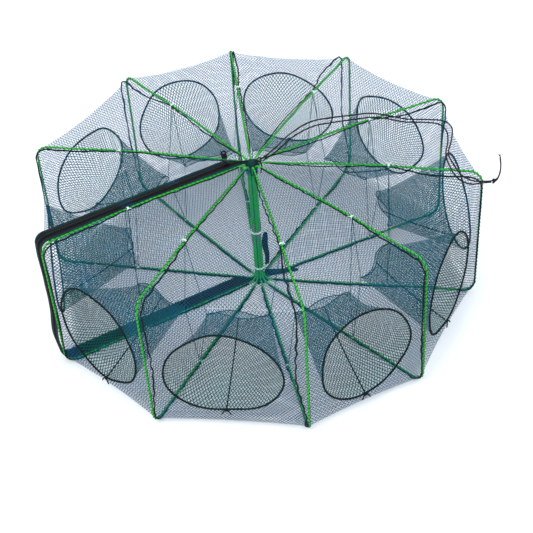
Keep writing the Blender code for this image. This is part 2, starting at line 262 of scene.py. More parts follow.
def mixed(tree, factor, first, second, **settings):
    """Two colours mixed by a factor."""
    mix = node(tree, "ShaderNodeMix", data_type="RGBA", **settings)
    for value, place in ((factor, "Factor"), (first, 6), (second, 7)):
        feed(tree, value, mix.inputs[place])
    return mix.outputs[2]


def make_mottle():
    """Two colours in soft patches, such as dye and damp in old twine."""
    tree, given, result, coords = new_group(
        "dye mottle",
        [("Deep", "NodeSocketColor", (0, 0, 0, 1)), ("Pale", "NodeSocketColor", (1, 1, 1, 1)),
         ("Patch Scale", "NodeSocketFloat", 20.0), ("Fleck Scale", "NodeSocketFloat", 900.0)],
        [("Color", "NodeSocketColor"), ("Roughness", "NodeSocketFloat")])
    patches = noise_at(tree, coords, given["Patch Scale"])
    flecks = noise_at(tree, coords, given["Fleck Scale"], 1.0)
    both = sums(tree, "MULTIPLY_ADD", flecks, 0.6, sums(tree, "MULTIPLY", patches, 0.6))
    colour = mixed(tree, ranged(tree, both, 0.38, 0.82), given["Deep"], given["Pale"])
    tree.links.new(colour, result["Color"])
    tree.links.new(ranged(tree, patches, 0.0, 1.0, 0.55, 0.9), result["Roughness"])
    return tree


def make_lay():
    """The slanting strands of twisted or braided cord, as a height, and as a painted shade for the
    grooves between them.
    """
    tree, given, result, coords = new_group(
        "twine lay",
        [("Strand Scale", "NodeSocketFloat", 400.0), ("Waviness", "NodeSocketFloat", 1.5)],
        [("Height", "NodeSocketFloat"), ("Groove Shade", "NodeSocketFloat")])
    wave = node(tree, "ShaderNodeTexWave", bands_direction="DIAGONAL")
    tree.links.new(coords, wave.inputs["Vector"])
    tree.links.new(given["Strand Scale"], wave.inputs["Scale"])
    tree.links.new(given["Waviness"], wave.inputs["Distortion"])
    tree.links.new(wave.outputs["Fac"], result["Height"])
    # the grooves between strands, as a painted shade that darkens the colour
    tree.links.new(ranged(tree, wave.outputs["Fac"], 0.0, 0.35), result["Groove Shade"])
    return tree


def make_scuff():
    """Rubbed and scratched patches, as a mask, with the roughness they give."""
    tree, given, result, coords = new_group(
        "handling scuffs",
        [("Scale", "NodeSocketFloat", 60.0), ("Amount", "NodeSocketFloat", 0.4),
         ("Smooth", "NodeSocketFloat", 0.3), ("Rubbed", "NodeSocketFloat", 0.6)],
        [("Mask", "NodeSocketFloat"), ("Roughness", "NodeSocketFloat"),
         ("Height", "NodeSocketFloat")])
    broad = noise_at(tree, coords, given["Scale"], 4.0)
    fine = noise_at(tree, coords, 1400.0, 2.0)
    mask = ranged(tree, sums(tree, "MULTIPLY", broad, fine), 0.26, 0.42)
    scaled = sums(tree, "MULTIPLY", mask, given["Amount"])
    rough = node(tree, "ShaderNodeMix", data_type="FLOAT")
    for value, place in ((scaled, 0), (given["Smooth"], 2), (given["Rubbed"], 3)):
        tree.links.new(value, rough.inputs[place])
    tree.links.new(scaled, result["Mask"])
    tree.links.new(rough.outputs[0], result["Roughness"])
    tree.links.new(fine, result["Height"])
    return tree


MOTTLE = make_mottle()
LAY = make_lay()
SCUFF = make_scuff()


def use_group(tree, group, **values):
    made = node(tree, "ShaderNodeGroup", node_tree=group)
    for name, value in values.items():
        made.inputs[name.replace("_", " ")].default_value = value
    return made


def bump(tree, shader, height, strength, distance):
    made = node(tree, "ShaderNodeBump")
    made.inputs["Strength"].default_value = strength
    made.inputs["Distance"].default_value = distance
    tree.links.new(height, made.inputs["Height"])
    tree.links.new(made.outputs["Normal"], shader.inputs["Normal"])


def blank_material(name):
    made = bpy.data.materials.new(name)
    made.use_nodes = True
    return made, made.node_tree, made.node_tree.nodes["Principled BSDF"]


def twine_material(name, deep, pale, strands, patch=22.0, depth=0.0003):
    """Netting, cord and thread: dyed fibre with the lay of its strands, and painted shade
    darkening the lay's grooves.
    """
    made, tree, shader = blank_material(name)
    dye = use_group(tree, MOTTLE, Deep=(*deep, 1), Pale=(*pale, 1), Patch_Scale=patch)
    lay = use_group(tree, LAY, Strand_Scale=strands)
    # painted shade: the colour is darkened in the lay's grooves, where shade falls between the
    # strands
    shade = mixed(tree, 0.45, dye.outputs["Color"], lay.outputs["Groove Shade"], blend_type="MULTIPLY")
    tree.links.new(shade, shader.inputs["Base Color"])
    tree.links.new(dye.outputs["Roughness"], shader.inputs["Roughness"])
    shader.inputs["Specular IOR Level"].default_value = 0.12
    bump(tree, shader, lay.outputs["Height"], 0.5, depth)
    return made


def coated_material(name, base, rubbed, smooth=0.28, worn=0.55, scale=60.0, metallic=0.0):
    """Plastic coating or painted metal, rubbed in places."""
    made, tree, shader = blank_material(name)
    scuff = use_group(tree, SCUFF, Scale=scale, Amount=0.5, Smooth=smooth, Rubbed=worn)
    colour = mixed(tree, scuff.outputs["Mask"], (*base, 1), (*rubbed, 1))
    tree.links.new(colour, shader.inputs["Base Color"])
    tree.links.new(scuff.outputs["Roughness"], shader.inputs["Roughness"])
    shader.inputs["Metallic"].default_value = metallic
    shader.inputs["Specular IOR Level"].default_value = 0.3
    bump(tree, shader, scuff.outputs["Height"], 0.15, 0.0002)
    return made


NET = twine_material("teal netting", (0.001, 0.032, 0.052), (0.003, 0.108, 0.225), 700)
FUNNEL = twine_material("teal funnel netting", (0.0003, 0.040, 0.040), (0.002, 0.125, 0.125),
                        700)
# the gathered hem colour is the netting's own teal, darkened as painted shade of the folds inside
# a gathered bunch
SHADED_HEM = twine_material("gathered net hem with painted shade", (0.001, 0.012, 0.013), (0.005, 0.045, 0.043), 420, 60)
SEAM = twine_material("black seam twine", (0.0005, 0.005, 0.006), (0.002, 0.018, 0.018), 900)
RING = twine_material("black ring cord", (0.001, 0.005, 0.006), (0.005, 0.018, 0.018), 600)
STRING = twine_material("dark slit string", (0.003, 0.035, 0.033), (0.012, 0.085, 0.080), 1500)
ROPE = twine_material("black lift cord", (0.004, 0.002, 0.006), (0.030, 0.020, 0.034), 520, 60)
TAPE = twine_material("black zip tape", (0.001, 0.001, 0.002), (0.006, 0.006, 0.009), 1100)
COIL = coated_material("black zip coil", (0.004, 0.003, 0.004), (0.020, 0.017, 0.018), 0.45, 0.7)
WIRE = coated_material("green wire coating", (0.012, 0.330, 0.012), (0.045, 0.450, 0.040),
                       0.35, 0.6, 45.0)
METAL = coated_material("black painted metal", (0.010, 0.007, 0.014), (0.07, 0.06, 0.08),
                        0.4, 0.6, 150.0, 0.5)
PALE = coated_material("natural nylon", (0.60, 0.68, 0.68), (0.80, 0.84, 0.82), 0.4, 0.6, 120.0)
SLEEVE = coated_material("grey crimp metal", (0.16, 0.20, 0.18), (0.32, 0.36, 0.34), 0.4, 0.6,
                         200.0, 0.6)


# ---------------------------------------------------------------- the frame's own curves

def unit(vectors):
    return vectors / np.linalg.norm(vectors, axis=-1, keepdims=True)


def circle(count):
    """Angles spread evenly round a circle."""
    return 2 * np.pi * np.arange(count) / count


def distances(path):
    """How far along a path each of its points is."""
    return np.concatenate([[0], np.cumsum(np.linalg.norm(np.diff(path, axis=0), axis=1))])


def along_path(path, along, at):
    """What a path holds at these distances along it."""
    return np.stack([np.interp(at, along, path[:, k]) for k in range(3)], 1)


def arc_drop(outward, radius):
    """How far a rounded corner has fallen at this distance past its start."""
    outward = np.clip(outward, 0, radius)
    return radius - np.sqrt(radius ** 2 - outward ** 2)


def roof_bow(r):
    """How far a top run has risen between its ends."""
    share = np.clip((r - SPOKE_START) / (SPOKE_END - SPOKE_START), 0, 1)
    return ROOF_BOW * np.sin(np.pi * share) ** 2


def corner_drop(r):
    return arc_drop(SPOKE_START - r, INNER_CORNER_R) + arc_drop(r - SPOKE_END, OUTER_CORNER_R)


def spoke_height(r):
    """Height of a top run's centre line at distance r from the trap's axis."""
    return TOP + roof_bow(r) - corner_drop(r)


def base_height(r):
    """Height of a bottom run's centre line at distance r from the trap's axis."""
    return LOW + corner_drop(r)


def rod_distance(z):
    """Distance from the trap's axis to an outer rod's centre line at height z."""
    low, high = LOW + OUTER_CORNER_R, TOP - OUTER_CORNER_R
    return RIM_R - arc_drop(low - z, OUTER_CORNER_R) - arc_drop(z - high, OUTER_CORNER_R)


def bulge(share):
    """0 at both ends of a span and 1 at its middle."""
    share = np.clip(share, 0, 1)
    return 4 * share * (1 - share)


class Bay:
    """One bay between two neighbouring frames."""

    def __init__(self, index):
        self.index = index
        self.label = f"{index + 1:02d}"
        nxt = (index + 1) % BAYS
        self.frames = (index, nxt)
        self.wires = [f"frame_wire_{k + 1:02d}" for k in self.frames]
        self.whole = index == ZIP_BAY       # its netting is all on one frame, for the zip
        self.parts = 1 if self.whole else 2
        first, second = math.radians(AZIMUTHS[index]), math.radians(AZIMUTHS[nxt])
        if second > first:
            second -= 2 * math.pi
        self.half = (first - second) / 2
        middle = (first + second) / 2
        self.out = np.array((math.cos(middle), math.sin(middle), 0))
        self.across = np.array((math.sin(middle), -math.cos(middle), 0))
        self.reach = RIM_R * math.cos(self.half)
        self.width = 2 * RIM_R * math.sin(self.half)
        self.ring_at = np.array((0, RING_Z)) + RING_MOVE[index]
        self.ring_radii = np.array((RING_SHARE * self.width, RING_B)) * RING_SIZE[index]
        rng = random.Random(300 + index)
        self.bumps = [(k, rng.uniform(0.3, 1) * size, rng.uniform(0, 6.28))
                      for k, size in ((2, 0.045), (3, 0.040), (5, 0.018), (7, 0.010))]
        self.joint = "fold_01_02" if self.whole else f"fold_{self.label}_{nxt + 1:02d}"

    def belly(self, x, d):
        """0 beside each frame and 1 half way between them."""
        return bulge(0.5 + x / np.maximum(2 * d * math.tan(self.half), 1e-6))

    def roof(self, x, d):
        """A point of the roof, from its place across and out in plan."""
        belly = self.belly(x, d)
        far = d / self.reach
        z = spoke_height(d / math.cos(self.half)) - ROOF_SAG * belly * np.clip(far, 0, 1)
        return self.lift(x, d - RIM_DIP * belly * far ** 4, z)

    def floor(self, x, d):
        """A point of the floor, which lies on the ground away from the wires."""
        belly = self.belly(x, d)
        far = d / self.reach
        z = base_height(d / math.cos(self.half))
        z = z - (z - FLOOR_CLEAR) * np.minimum(1, 1.6 * belly) * (1 - np.clip(far, 0, 1) ** 10)
        return self.lift(x, d - RIM_DIP * belly * far ** 4, z)

    def wall(self, x, z):
        """A point of the wall, from its place along the wall and its height."""
        belly = bulge(0.5 + x / self.width)
        rise = np.clip((z - NET_LOW) / (NET_HIGH - NET_LOW), 0, 1)
        scale = rod_distance(z) / RIM_R
        dip = belly * (RIM_DIP + WALL_DIP * np.sin(np.pi * rise))
        drop = ROOF_SAG * belly * rise ** 3
        return self.lift(x * scale, self.reach * scale - dip, z - drop)

    def lift(self, x, d, z):
        """Points from their places across the bay, out along it, and up."""
        x, d, z = np.broadcast_arrays(x, d, z)
        return x[:, None] * self.across + d[:, None] * self.out + z[:, None] * UP

    def ring_size(self, angle):
        """The ring is pulled out of round by its netting."""
        return 0.985 + sum(size * np.sin(k * angle + turn) for k, size, turn in self.bumps)

    def ring(self, angle):
        """The entrance ring's place on the wall at these angles."""
        size = self.ring_size(angle)
        return self.wall(self.ring_at[0] + self.ring_radii[0] * size * np.cos(angle),
                         self.ring_at[1] + self.ring_radii[1] * size * np.sin(angle))

    def slit(self, angle):
        """The slit's place at the sleeve's inner end at these angles."""
        d = np.full_like(angle, self.reach - FUNNEL_DEPTH)
        lean = 0.006 * np.sin(3 * angle + self.index)
        return self.lift(SLIT_A * np.cos(angle), d + lean, SLIT_Z + SLIT_B * np.sin(angle))


BAY = [Bay(k) for k in range(BAYS)]


def frame_normal(index):
    azimuth = math.radians(AZIMUTHS[index])
    return np.array((-math.sin(azimuth), math.cos(azimuth), 0))


def frame_out(index):
    azimuth = math.radians(AZIMUTHS[index])
    return np.array((math.cos(azimuth), math.sin(azimuth), 0))


# ---------------------------------------------------------------- mesh helpers

def linked(name, data):
    """A new object in the scene."""
    made = bpy.data.objects.new(name, data)
    bpy.context.scene.collection.objects.link(made)
    return made


def mesh_object(name, points, faces, material, smooth=True):
    mesh = bpy.data.meshes.new(name)
    mesh.from_pydata([tuple(p) for p in points], [], [tuple(f) for f in faces])
    mesh.materials.append(material)
    if smooth:
        mesh.shade_smooth()
    return linked(name, mesh)


def follow(piece, index, joint=None):
    """Rides on a frame, with a mesh of its own when a joint is given."""
    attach(piece, NODE_BODY[f"frame_wire_{index + 1:02d}"])
    if joint:
        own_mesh(piece)


def ride_root(piece):
    """Rides on the root frame, with a mesh of its own."""
    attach(piece, "root")
    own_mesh(piece)


def tube(path, radius, sides=6, closed=False):
    """Points and faces of a tube along a path, turning as little as it can."""
    path = np.asarray(path, float)
    count = len(path)
    if closed:
        ways = unit(np.roll(path, -1, 0) - np.roll(path, 1, 0))
    else:
        ways = unit(np.gradient(path, axis=0))
    side = unit(np.cross(ways[0], (0.31, 0.52, 0.79)))
    first = []
    for way in ways:
        side = unit(side - way * side.dot(way))
        first.append(side)
    first = np.array(first)
    if closed:
        last = unit(first[-1] - ways[0] * first[-1].dot(ways[0]))
        twist = math.atan2(np.dot(np.cross(last, first[0]), ways[0]), last.dot(first[0]))
        turn = (twist * np.arange(count) / count)[:, None]
        second = np.cross(ways, first)
        first = first * np.cos(turn) + second * np.sin(turn)
    second = np.cross(ways, first)
    around = circle(sides)[None, :, None]
    radius = np.broadcast_to(radius, count)[:, None, None]
    points = path[:, None, :] + radius * (np.cos(around) * first[:, None, :]
                                          + np.sin(around) * second[:, None, :])
    return points.reshape(-1, 3), ring_faces(count, sides, closed)


def ring_faces(count, sides, closed=False):
    """Faces between rings of points that follow each other, and over both ends."""
    faces = [(k * sides + s, k * sides + (s + 1) % sides,
              (k + 1) % count * sides + (s + 1) % sides, (k + 1) % count * sides + s)
             for k in range(count if closed else count - 1) for s in range(sides)]
    if not closed:
        faces += [tuple(range(sides))[::-1], tuple((count - 1) * sides + s for s in range(sides))]
    return faces


class Shapes:
    """Gathers several shapes into one mesh."""

    def __init__(self):
        self.points, self.faces, self.count = [], [], 0

    def add(self, points, faces):
        self.points.append(np.asarray(points))
        self.faces += [tuple(i + self.count for i in f) for f in faces]
        self.count += len(points)

    def tube(self, path, radius, sides=6, closed=False):
        self.add(*tube(path, radius, sides, closed))

    def made(self, name, material, smooth=True):
        return mesh_object(name, np.concatenate(self.points), self.faces, material, smooth)


def helix(path, radius, pitch, per_turn=7, phase=0.0):
    """A thread wound round a path."""
    path = np.asarray(path, float)
    along = distances(path)
    at = np.linspace(0, along[-1], max(8, int(along[-1] / pitch * per_turn)))
    core = along_path(path, along, at)
    ways = unit(np.gradient(core, axis=0))
    side = unit(np.cross(ways, (0.21, 0.33, 0.92)))
    turn = (2 * np.pi * at / pitch + phase)[:, None]
    return core + radius * (np.cos(turn) * side + np.sin(turn) * np.cross(ways, side))


# ---------------------------------------------------------------- netting

def lattice(corners, angle, shift, twine, bay=None):
    """Net cells inside a convex outline in the plane, each twine a flat band. The outline
    runs anticlockwise; twines past it, or inside the bay's entrance ring, are cut at it."""
    corners = np.asarray(corners, float)
    c, s = math.cos(angle), math.sin(angle)
    turn = np.array(((c, s), (-s, c)))
    local = (corners - corners.mean(0)) @ turn.T
    low = np.floor(local.min(0) / MESH).astype(int) - 1
    high = np.ceil(local.max(0) / MESH).astype(int) + 1
    i, j = np.meshgrid(np.arange(low[0], high[0] + 1), np.arange(low[1], high[1] + 1),
                       indexing="ij")
    rows, cols = i.shape
    half = twine / MESH / 2
    base = np.stack([i, j], -1).reshape(-1, 1, 2) + shift
    corner = np.array(((-half, -half), (half, -half), (half, half), (-half, half)))
    points = ((base + corner) * MESH).reshape(-1, 2) @ turn + corners.mean(0)
    at = 4 * np.arange(rows * cols).reshape(rows, cols)
    knots = np.stack([at + k for k in range(4)], -1).reshape(-1, 4)
    a, b = at[:-1, :].ravel(), at[1:, :].ravel()
    along = np.stack([a + 1, b, b + 3, a + 2], 1)
    a, b = at[:, :-1].ravel(), at[:, 1:].ravel()
    up = np.stack([a + 3, a + 2, b + 1, b], 1)
    faces = np.concatenate([knots, along, up])
    middle = points[faces].mean(1)
    keep = np.ones(len(faces), bool)
    edges = list(zip(corners, np.roll(corners, -1, 0)))
    for p, q in edges:
        inward = np.array((-(q - p)[1], (q - p)[0]))
        inward /= np.linalg.norm(inward)
        keep &= (middle - p) @ inward > 0
        off = (points - p) @ inward
        points = points - np.minimum(off, 0)[:, None] * inward
    if bay is not None:
        centre, radii = bay.ring_at, bay.ring_radii
        rel = (middle - centre) / radii
        keep &= np.linalg.norm(rel, axis=1) > bay.ring_size(np.arctan2(rel[:, 1], rel[:, 0]))
        rel = (points - centre) / radii
        size = np.maximum(np.linalg.norm(rel, axis=1), 1e-6)[:, None]
        ring = bay.ring_size(np.arctan2(rel[:, 1], rel[:, 0]))[:, None]
        points = np.where(size < ring, centre + rel / size * ring * radii, points)
    return points, faces[keep]


def split_and_place(name, points, faces, side, bay, material):
    """Two pieces, one for each frame of the bay; side is below 0 beside the first frame."""
    made = []
    second = side[faces].mean(1) >= 0
    halves = ((bay.frames[0], ~second, "a"), (bay.frames[1], second, "b"))
    if bay.whole:
        halves = ((bay.frames[1], np.full(len(faces), True), "b"),)
    for index, chosen, letter in halves:
        part = faces[chosen]
        used, again = np.unique(part.ravel(), return_inverse=True)
        piece = net_object(f"{name}_{letter}", points[used], again.reshape(part.shape), material)
        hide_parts(name)
        follow(piece, index, bay.joint)
        made.append(piece)
    return made


def net_object(name, points, faces, material):
    """A mesh of many four-sided faces."""
    mesh = bpy.data.meshes.new(name)
    mesh.vertices.add(len(points))
    mesh.vertices.foreach_set("co", np.asarray(points, np.float32).ravel())
    mesh.loops.add(faces.size)
    mesh.loops.foreach_set("vertex_index", faces.ravel().astype(np.int32))
    mesh.polygons.add(len(faces))
    mesh.polygons.foreach_set("loop_start", np.arange(0, faces.size, 4, dtype=np.int32))
    mesh.polygons.foreach_set("loop_total", np.full(len(faces), 4, np.int32))
    mesh.update(calc_edges=True)
    mesh.validate()
    mesh.materials.append(material)
    mesh.shade_smooth()
    return linked(name, mesh)


def ripple(points, rng):
    """Small waves of slack netting."""
    total = np.zeros(len(points))
    for _ in range(5):
        wave = rng.uniform(-1, 1, 3)
        wave *= rng.uniform(60, 190) / np.linalg.norm(wave)
        total += np.sin(points @ wave + rng.uniform(0, 6.28))
    return points + np.outer(total * RIPPLE, UP)


def bay_nets(bay):
    """The bay's roof, floor and wall."""
    rng = np.random.default_rng(40 + bay.index)
    tan = math.tan(bay.half)
    inner = NET_IN_R * math.cos(bay.half)
    outer = (RIM_R - RIM_FOLD) * math.cos(bay.half)
    wedge = [(-outer * tan, outer), (-inner * tan, inner), (inner * tan, inner),
             (outer * tan, outer)]
    for kind, surface in (("roof_net", bay.roof), ("floor_net", bay.floor)):
        angle = math.radians(45 + rng.uniform(-9, 9))
        flat, faces = lattice(wedge, angle, rng.uniform(0, 1, 2), TWINE)
        points = surface(flat[:, 0], flat[:, 1])
        if kind == "roof_net":
            points = ripple(points, rng)
        for piece in split_and_place(f"{kind}_{bay.label}", points, faces, flat[:, 0], bay, NET):
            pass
    half, high = bay.width / 2, NET_HIGH - NET_LOW
    angle = math.radians(45 + rng.uniform(-9, 9))
    flat, faces = lattice([(-half, NET_LOW), (half, NET_LOW), (half, NET_HIGH), (-half, NET_HIGH)],
                          angle, rng.uniform(0, 1, 2), WALL_TWINE, bay)
    points = bay.wall(flat[:, 0], flat[:, 1])
    # this width leaves out the opening's area, so it is less than the panel's own
    wide = (bay.width - math.pi * bay.ring_radii.prod() / high) / bay.parts
    for piece in split_and_place(f"wall_net_{bay.label}", points, faces, flat[:, 0], bay, NET):
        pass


def bay_funnel(bay):
    """The sleeve's netting runs from the ring to the slit, its meshes drawn together."""
    girth = math.pi * bay.ring_radii.sum()
    deep = FUNNEL_DEPTH * 1.05
    rng = np.random.default_rng(90 + bay.index)
    flat, faces = lattice([(0, 0), (girth, 0), (girth, deep), (0, deep)],
                          math.radians(45 + rng.uniform(-6, 6)), rng.uniform(0, 1, 2),
                          FUNNEL_TWINE)
    points = funnel_point(bay, 2 * math.pi * flat[:, 0] / girth - math.pi / 2, flat[:, 1] / deep)
    side = points @ bay.across
    for piece in split_and_place(f"entry_funnel_{bay.label}", points, faces, side, bay, FUNNEL):
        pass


def funnel_point(bay, angle, share):
    """A point of the sleeve at this angle, share of the way in; it hangs in a little."""
    ease = (share * (1.35 - 0.35 * share))[:, None]
    ring, slit = bay.ring(angle), bay.slit(angle)
    points = ring * (1 - ease) + slit * ease
    hang = 0.006 * np.sin(np.pi * share) * (1 + 0.4 * np.sin(3 * angle + bay.index))
    return points - hang[:, None] * UP


# ---------------------------------------------------------------- twine, rings and ties

def wire_path(index):
    """A frame's top run, outer rod and bottom run as one line."""
    low, high = LOW + OUTER_CORNER_R, TOP - OUTER_CORNER_R
    out = np.linspace(SEAM_START_R, SPOKE_END, 60)
    turn = np.radians(np.linspace(90, 0, 12))[1:]
    rod_z = np.linspace(high, low, 40)[1:-1]
    fall = np.radians(np.linspace(0, -90, 12))
    back = out[::-1][1:]
    r = np.concatenate([out, SPOKE_END + OUTER_CORNER_R * np.cos(turn), np.full(38, RIM_R),
                        SPOKE_END + OUTER_CORNER_R * np.cos(fall), back])
    z = np.concatenate([spoke_height(out), high + OUTER_CORNER_R * np.sin(turn), rod_z,
                        low + OUTER_CORNER_R * np.sin(fall), base_height(back)])
    return np.outer(r, frame_out(index)) + np.outer(z, UP)


def sway_of(path, spoke, rod):
    """How far a seam wanders sideways from its wire, between the places it is tied."""
    along = distances(path)
    total = along[-1]
    tie = TIE_AT * RIM_R - SEAM_START_R
    corner = RIM_R - SEAM_START_R
    heel = total - corner
    places = (0, 0.5 * tie, tie, (tie + corner) / 2, corner, (corner + heel) / 2, heel,
              (heel + total - tie) / 2, total - tie, total)
    sizes = (0, 0.3 * spoke, 0, spoke, 0.6 * spoke + 0.3 * rod, rod, 0, -0.5 * spoke, 0, 0)
    k = np.clip(np.searchsorted(places, along) - 1, 0, len(places) - 2)
    places, sizes = np.array(places), np.array(sizes)
    share = (along - places[k]) / (places[k + 1] - places[k])
    share = share * share * (3 - 2 * share)
    return along, sizes[k] * (1 - share) + sizes[k + 1] * share


def seams(index):
    """The seam cord beside a frame's wire, and the thread that lashes it on."""
    rng = np.random.default_rng(7 + index)
    path = wire_path(index)
    spoke, rod = SEAM_SWAY[index]
    along, sway = sway_of(path, spoke, rod)
    normal = frame_normal(index)
    shiver = sum(np.sin(along * rng.uniform(60, 260) + rng.uniform(0, 6.28)) for _ in range(5))
    beside = math.copysign(WIRE_R + SEAM_R, spoke)
    offset = sway + beside + shiver * SEAM_SHIVER
    ends = np.clip(np.minimum(along, along[-1] - along) / 0.05, 0, 1)
    cord = path + (offset * (0.4 + 0.6 * ends))[:, None] * normal
    cord[:, 2] -= np.minimum(np.abs(sway), 0.010) * 0.25 * (cord[:, 2] > HEIGHT / 2)
    cord[:, 2] = np.maximum(cord[:, 2], SEAM_R + GAP)
    seam = Shapes()
    seam.tube(cord, SEAM_R * (1 + 0.22 * np.sin(along * 900)), 6)
    finish_twine(seam, f"seam_cord_{index + 1:02d}", index)
    lashing = helix(path, WIRE_R + 0.0006, LASHING_PITCH, 7, rng.uniform(0, 6.28))
    lashing[:, 2] = np.maximum(lashing[:, 2], 0.0008)
    thread = Shapes()
    thread.tube(lashing, LASHING_R, 4)
    finish_twine(thread, f"lashing_{index + 1:02d}", index)


def finish_twine(shapes, name, index):
    follow(shapes.made(name, SEAM), index, BAY[index].joint)


def entrance(bay):
    """The ring cord with its thread, its knot, the sleeve's seam and the strings."""
    count = 73
    angle = np.linspace(-math.pi / 2, 1.5 * math.pi, count)
    ring = bay.ring(angle) + bay.out * 0.0008
    groups = [(bay.frames[1], np.arange(count), "b")] if bay.whole else [
        (bay.frames[1], np.arange(0, count // 2 + 1), "b"),
        (bay.frames[0], np.arange(count // 2, count), "a")]
    for index, chosen, letter in groups:
        part = ring[chosen]
        cord = Shapes()
        cord.tube(part, RING_CORD_R, 8)
        cord.tube(helix(part, RING_CORD_R + 0.0002, 0.007, 8), 0.0005, 4)
        if letter == "b":
            knot_shape(cord, ring[0], bay)
        piece = cord.made(f"entrance_ring_{bay.label}_{letter}", RING)
        follow(piece, index, bay.joint)
    bottom = funnel_point(bay, np.full(22, -math.pi / 2), np.linspace(0, 1, 22))
    seam = Shapes()
    seam.tube(bottom - 0.0006 * UP, 0.0012, 6)
    seam.tube(helix(bottom, 0.0014, 0.006, 6), 0.0004, 4)
    piece = seam.made(f"funnel_seam_{bay.label}", SEAM)
    follow(piece, bay.frames[1], bay.joint)
    slit_hem(bay)


def knot_shape(cord, place, bay):
    """A small overhand knot with two short ends."""
    turn = circle(14)
    loop = (place + 0.0032 * np.outer(np.cos(turn), bay.across)
            + 0.0030 * np.outer(np.sin(turn), UP) + 0.0015 * bay.out)
    cord.tube(loop, 0.0019, 6, True)
    for sway in (-1, 1):
        end = np.array([place + bay.out * out + bay.across * sway * aside - down * UP
                        for out, aside, down in ((0.001, 0.002, 0), (0.004, 0.006, 0.004),
                                                 (0.004, 0.009, 0.010))])
        cord.tube(end, 0.0014, 6)


def slit_hem(bay):
    """A thin cord round the slit, and the strings that hold its two ends open."""
    groups = [(bay.frames[1], (-1, 1), "b")] if bay.whole else [
        (bay.frames[0], (-1,), "a"), (bay.frames[1], (1,), "b")]
    for index, signs, letter in groups:
        hem = Shapes()
        if bay.whole:
            hem.tube(bay.slit(circle(48)), 0.0010, 6, True)
        else:
            angle = np.linspace(-math.pi / 2, math.pi / 2, 25)
            hem.tube(bay.slit(angle if signs[0] > 0 else angle + math.pi), 0.0010, 6)
        for sign in signs:
            end = bay.slit(np.array([0.0 if sign > 0 else math.pi]))[0]
            for high in (True, False):
                tie = spoke_point(bay.frames[sign > 0], high)
                hem.tube(hanging(end, tie, 0.004), STRING_R, 5)
        piece = hem.made(f"slit_hem_{bay.label}_{letter}", STRING)
        follow(piece, index, bay.joint)


def spoke_point(index, high):
    """Where a frame's top or bottom run is tied."""
    r = TIE_AT * RIM_R
    return frame_out(index) * r + UP * float(spoke_height(r) if high else base_height(r))


def hanging(a, b, sag):
    """A slack string from one place to another."""
    t = np.linspace(0, 1, 12)[:, None]
    return a * (1 - t) + b * t - 4 * sag * t * (1 - t) * UP


def spoke_ties(index):
    """White ties round the top and bottom runs, each with two short ends."""
    rng = random.Random(index)
    out, normal = frame_out(index), frame_normal(index)
    tie = Shapes()
    for high in (True, False):
        place = spoke_point(index, high)
        turn = circle(16)
        for step in (-0.0012, 0.0, 0.0012):
            ring = (place + out * step + 0.0031 * np.outer(np.cos(turn), normal)
                    + 0.0031 * np.outer(np.sin(turn), UP))
            ring[:, 2] = np.maximum(ring[:, 2], 0.0010)
            tie.tube(ring, 0.0008, 6, True)
        lean = rng.choice((-1, 1))
        rise = 0.003 if high else 0.002
        for sway in (-1, 1):
            end = np.array([place + normal * lean * aside + out * sway * on + up * UP
                            for aside, on, up in ((0.003, 0, 0.002), (0.005, 0.002, rise),
                                                  (0.007, 0.005, rise))])
            tie.tube(end, 0.0007, 6)
    follow(tie.made(f"spoke_ties_{index + 1:02d}", PALE), index)


def sleeves(index):
    """The crimp that closes a frame's loop, on its inner rod."""
    z = 0.118 + 0.017 * (index % 3)
    core = frame_out(index) * (BUNDLE_R + 0.0006)
    ends = np.linspace(-0.009, 0.009, 9)
    path = core + np.outer(ends + z, UP)
    radius = (0.0022, 0.0027, 0.0027, 0.0024, 0.0027, 0.0024, 0.0027, 0.0027, 0.0022)
    sleeve = Shapes()
    sleeve.tube(path, radius, 10)
    follow(sleeve.made(f"crimp_sleeve_{index + 1:02d}", SLEEVE), index)


# ---------------------------------------------------------------- lift cord

def smooth_route(points, step=0.006):
    """Even steps along a smooth curve through the route's points."""
    points = np.asarray(points, float)
    ends = np.concatenate([[2 * points[0] - points[1]], points, [2 * points[-1] - points[-2]]])
    fine = []
    for a, b, c, d in zip(ends, ends[1:], ends[2:], ends[3:]):
        t = np.linspace(0, 1, 13)[:-1, None]
        fine.append(0.5 * (2 * b + (c - a) * t + (2 * a - 5 * b + 4 * c - d) * t ** 2
                           + (3 * b - a - 3 * c + d) * t ** 3))
    fine = np.concatenate(fine + [points[-1:]])
    along = distances(fine)
    at = np.linspace(0, along[-1], round(along[-1] / step) + 1)
    return along_path(fine, along, at), along[-1]


def over_roof(x, y):
    """A point of the lift cord, lying just above the frames' top runs."""
    return x, y, HEIGHT + float(roof_bow(math.hypot(x, y))) + CORD_R + GAP


def lift_cord():
    """Both strands, from the hub to the knot; the first runs on as the tail."""
    knot = knot_piece()
    for letter, plan, tail in (("a", STRAND_A, TAIL[1:]), ("b", STRAND_B, ())):
        route, length = smooth_route([over_roof(x, y) for x, y in plan] + list(tail))
        cord = Shapes()
        cord.tube(route, CORD_R, 12)
        piece = cord.made(f"lift_strand_{letter}", ROPE)
        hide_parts(f"lift_cord_{letter}")
        ride_root(piece)


